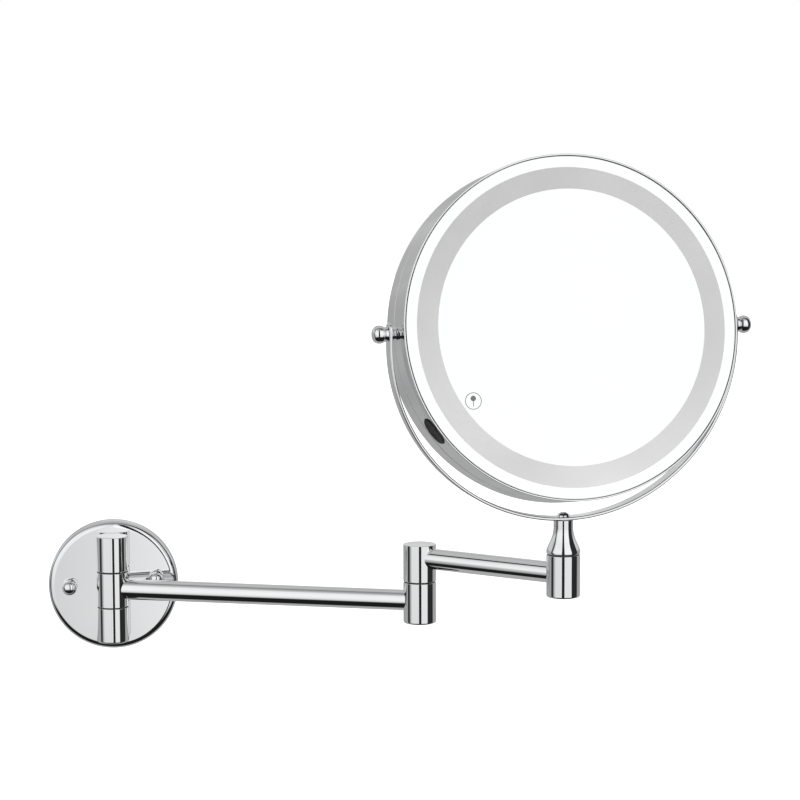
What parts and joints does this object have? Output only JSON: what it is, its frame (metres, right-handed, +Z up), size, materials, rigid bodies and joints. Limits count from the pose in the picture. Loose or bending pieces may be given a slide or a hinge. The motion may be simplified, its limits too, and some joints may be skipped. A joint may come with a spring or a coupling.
{
  "type": "extendable shaving mirror",
  "caption": "Wall-mounted lighted shaving mirror: round two-sided head in a half-ring yoke on a folding double-swing arm from a round wall plate.",
  "frame": {"origin": "centre of the face that lies against the wall", "axes": "+Y into the wall, +X to the right seen from the room, +Z up; the mirror stands out from the wall towards -Y"},
  "size_m": [0.4356, 0.1811, 0.3223],
  "materials": {
    "polished_chrome": "polished chrome plate",
    "zinc_steel": "zinc-plated steel",
    "brass": "plain turned brass",
    "grey_nylon": "dark grey nylon",
    "silvered_glass": "silvered glass with an etched band over the lights",
    "opal_acrylic": "opal, translucent",
    "white_board": "white solder mask",
    "white_plastic": "moulded white plastic",
    "cell_wrap": "wrapped cell pouch",
    "green_board": "green solder mask",
    "copper_pad": "copper foil",
    "lead_jacket": "red insulated wire",
    "black_rubber": "black moulded rubber"
  },
  "bodies": {
    "wall_base": {"wall_bracket": "zinc_steel", "bracket_stud_left": "zinc_steel", "bracket_stud_right": "zinc_steel", "wall_plate": "polished_chrome", "ball_nut_left": "polished_chrome", "ball_nut_right": "polished_chrome", "upper_knuckle": "polished_chrome", "lower_knuckle": "polished_chrome", "knuckle_screw_upper": "zinc_steel", "knuckle_screw_lower": "zinc_steel", "wall_hinge_pin": "zinc_steel", "wall_washer_upper": "grey_nylon", "wall_washer_lower": "grey_nylon"},
    "rear_arm": {"middle_knuckle": "polished_chrome", "rear_arm_tube": "polished_chrome", "elbow_lower_barrel": "polished_chrome", "elbow_washer": "grey_nylon", "elbow_spring_washer": "zinc_steel"},
    "front_arm": {"elbow_upper_barrel": "polished_chrome", "elbow_bolt": "zinc_steel", "front_arm_tube": "polished_chrome", "end_barrel": "polished_chrome", "neck_washer": "grey_nylon", "neck_spring_washer": "zinc_steel"},
    "yoke": {"neck_post": "polished_chrome", "neck_bolt": "zinc_steel", "yoke_band": "polished_chrome", "yoke_screw": "polished_chrome"},
    "head": {"head_body": "polished_chrome", "rear_bezel": "polished_chrome", "front_mirror": "silvered_glass", "rear_mirror": "silvered_glass", "light_diffuser": "opal_acrylic", "led_board": "white_board", "inner_tray": "white_plastic", "battery": "cell_wrap", "control_board": "green_board", "touch_sensor": "copper_pad", "charge_port": "zinc_steel", "light_lead": "lead_jacket", "touch_lead": "lead_jacket", "battery_lead": "lead_jacket", "pivot_knob_left": "polished_chrome", "pivot_knob_right": "polished_chrome", "pivot_spacer_left": "polished_chrome", "pivot_spacer_right": "polished_chrome", "pivot_boss_left": "brass", "pivot_boss_right": "brass"},
    "plug": {"port_plug": "black_rubber"}
  },
  "joints": [
    {"name": "wall_swivel", "type": "hinge", "parent": "wall_base", "child": "rear_arm", "pos_m": [0, -0.0231, 0], "axis": [0, 0, 1], "range_deg": [-152, 3]},
    {"name": "elbow_swivel", "type": "hinge", "parent": "rear_arm", "child": "front_arm", "pos_m": [0.19397, -0.0758, 0.0123], "axis": [0, 0, 1], "range_deg": [-159, 201]},
    {"name": "neck_swivel", "type": "hinge", "parent": "front_arm", "child": "yoke", "pos_m": [0.27768, -0.13684, 0.0394], "axis": [0, 0, 1], "continuous": true},
    {"name": "head_tilt", "type": "hinge", "parent": "yoke", "child": "head", "pos_m": [0.27768, -0.13684, 0.1758], "axis": [0.9799, 0.1994, 0], "continuous": true},
    {"name": "plug_pull", "type": "slide", "parent": "head", "child": "plug", "axis": [-0.7882, -0.2597, -0.558], "range_m": [0, 0.0045]}
  ]
}
